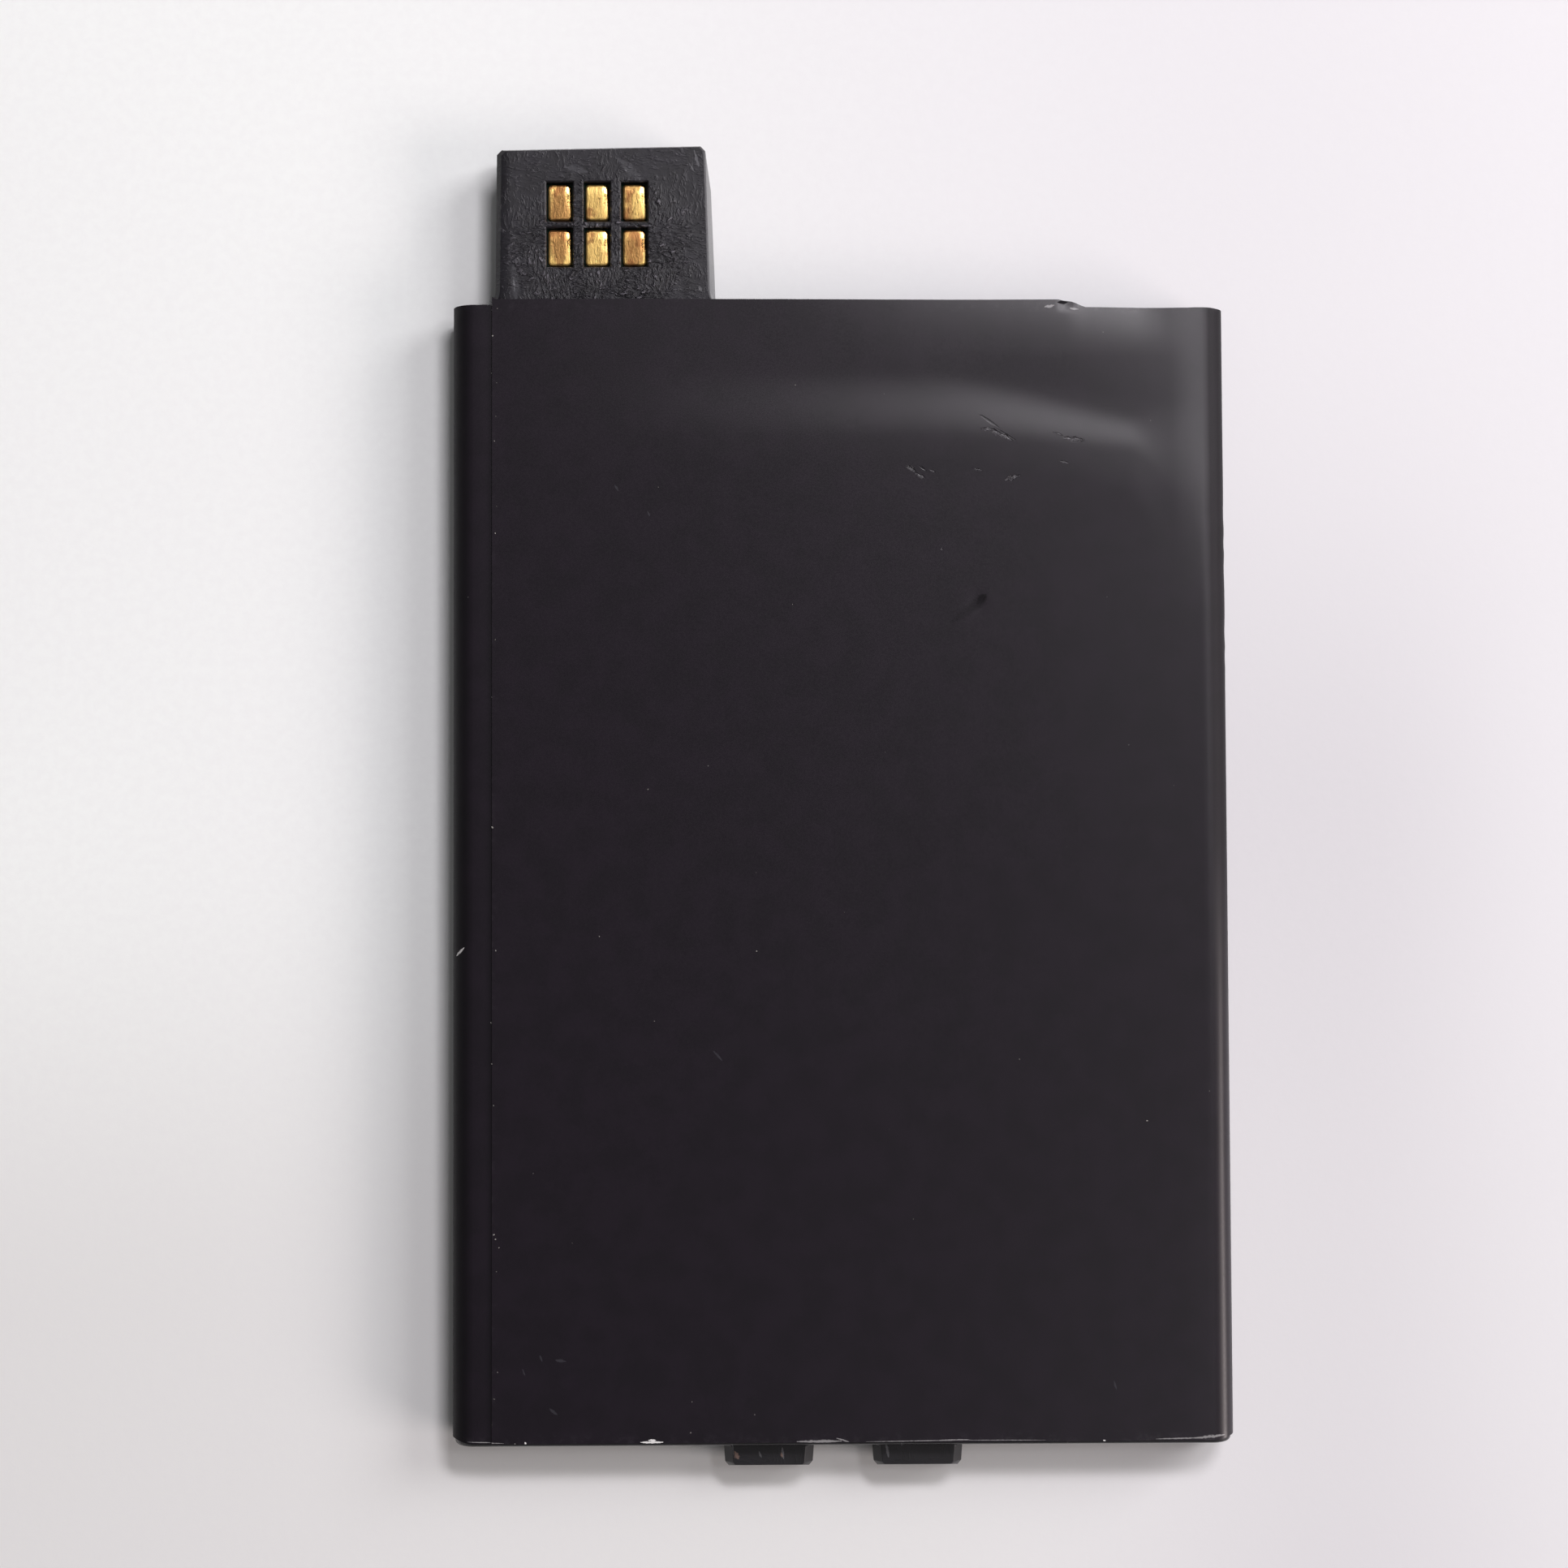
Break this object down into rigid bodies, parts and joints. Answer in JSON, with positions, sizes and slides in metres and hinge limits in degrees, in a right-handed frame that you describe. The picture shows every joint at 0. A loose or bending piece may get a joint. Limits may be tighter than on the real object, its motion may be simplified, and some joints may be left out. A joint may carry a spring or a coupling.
{
  "type": "mobile phone battery",
  "caption": "Flat rechargeable pack in a folded black film, with a moulded contact tab at one corner of its upper end and locating feet on its lower end.",
  "frame": {"origin": "middle of the flat back face: half way across the film and half way along the wrapped body", "axes": "+X across the pack to the picture's right, +Y along the pack towards the contact tab, +Z from the back face to the front face that the picture shows"},
  "size_m": [0.064, 0.1091, 0.0046],
  "materials": {
    "film": "satin printed polyester film, black",
    "moulding": "fine spark-eroded black moulding",
    "contact_plating": "bright gold plating, wiped and scratched",
    "pouch": "satin aluminium laminate pouch",
    "lead_metal": "plain nickel strip",
    "laminate": "solder-masked glass laminate",
    "chip_package": "moulded epoxy",
    "chip_ceramic": "fired ceramic with tinned ends",
    "foam": "closed-cell foam",
    "tape": "double-sided adhesive tape"
  },
  "bodies": {
    "root": {"wrap_film": "film", "connector_housing": "moulding", "connector_back_cover": "moulding", "foot_rail": "moulding", "foot_tape": "tape", "pouch_cell": "pouch", "positive_tab": "lead_metal", "negative_tab": "lead_metal", "board_foam": "foam", "circuit_board": "laminate", "gauge_chip": "chip_package", "power_switch": "chip_package", "protection_chip": "chip_package", "sense_resistor": "chip_ceramic", "thermistor": "chip_ceramic", "filter_capacitor_1": "chip_ceramic", "filter_capacitor_2": "chip_ceramic", "contact_1": "contact_plating", "contact_2": "contact_plating", "contact_3": "contact_plating", "contact_4": "contact_plating", "contact_5": "contact_plating", "contact_6": "contact_plating"}
  },
  "joints": []
}
